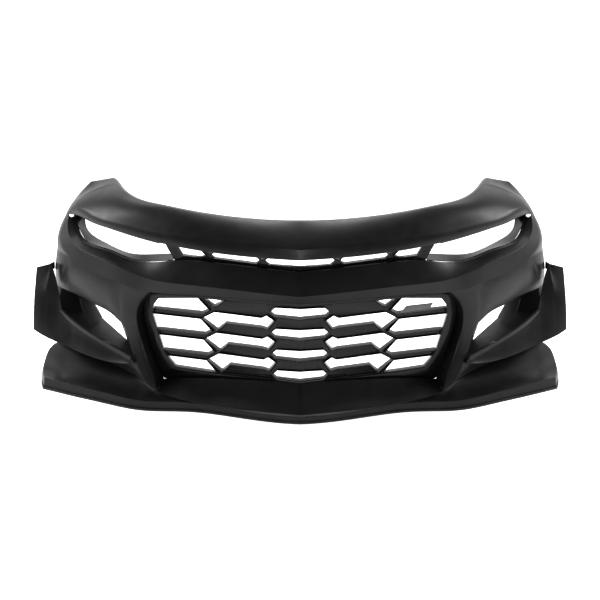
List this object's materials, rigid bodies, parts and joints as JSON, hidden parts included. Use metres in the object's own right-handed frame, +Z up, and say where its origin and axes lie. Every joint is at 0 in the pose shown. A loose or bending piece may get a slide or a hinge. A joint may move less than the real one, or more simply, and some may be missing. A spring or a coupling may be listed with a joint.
{
  "type": "front bumper cover",
  "caption": "Front bumper cover with lamp openings, honeycomb lower grille, side ducts, dive planes and a flat front splitter.",
  "frame": {"origin": "centre of the bounding box in plan, on the underside of the splitter", "axes": "+X to the side (the vehicle's left, right in a front view), -Y forward, +Z up"},
  "size_m": [1.9732, 0.6615, 0.71],
  "materials": {
    "cover_black": "satin moulded polypropylene",
    "trim_black": "semi-gloss ABS",
    "liner_black": "matt moulded polypropylene",
    "badge_grey": "smooth blank plate",
    "steel_black": "black zinc plating",
    "steel_zinc": "bright zinc plating"
  },
  "bodies": {
    "root": {"fascia": "cover_black", "chin_panel": "cover_black", "splitter_deck": "cover_black", "splitter_blade": "liner_black", "upper_grille": "trim_black", "lower_grille": "trim_black", "grille_frame": "trim_black", "grille_badge": "badge_grey", "splitter_screws": "steel_black", "splitter_nuts": "steel_zinc", "headlamp_bezel_right": "liner_black", "headlamp_bezel_left": "liner_black", "duct_liner_right": "liner_black", "duct_liner_left": "liner_black", "duct_vane_right": "liner_black", "duct_vane_left": "liner_black", "canard_right": "cover_black", "canard_left": "cover_black", "fender_bracket_right": "steel_black", "fender_bracket_left": "steel_black", "canard_stay_right": "steel_black", "canard_stay_left": "steel_black"}
  },
  "joints": []
}
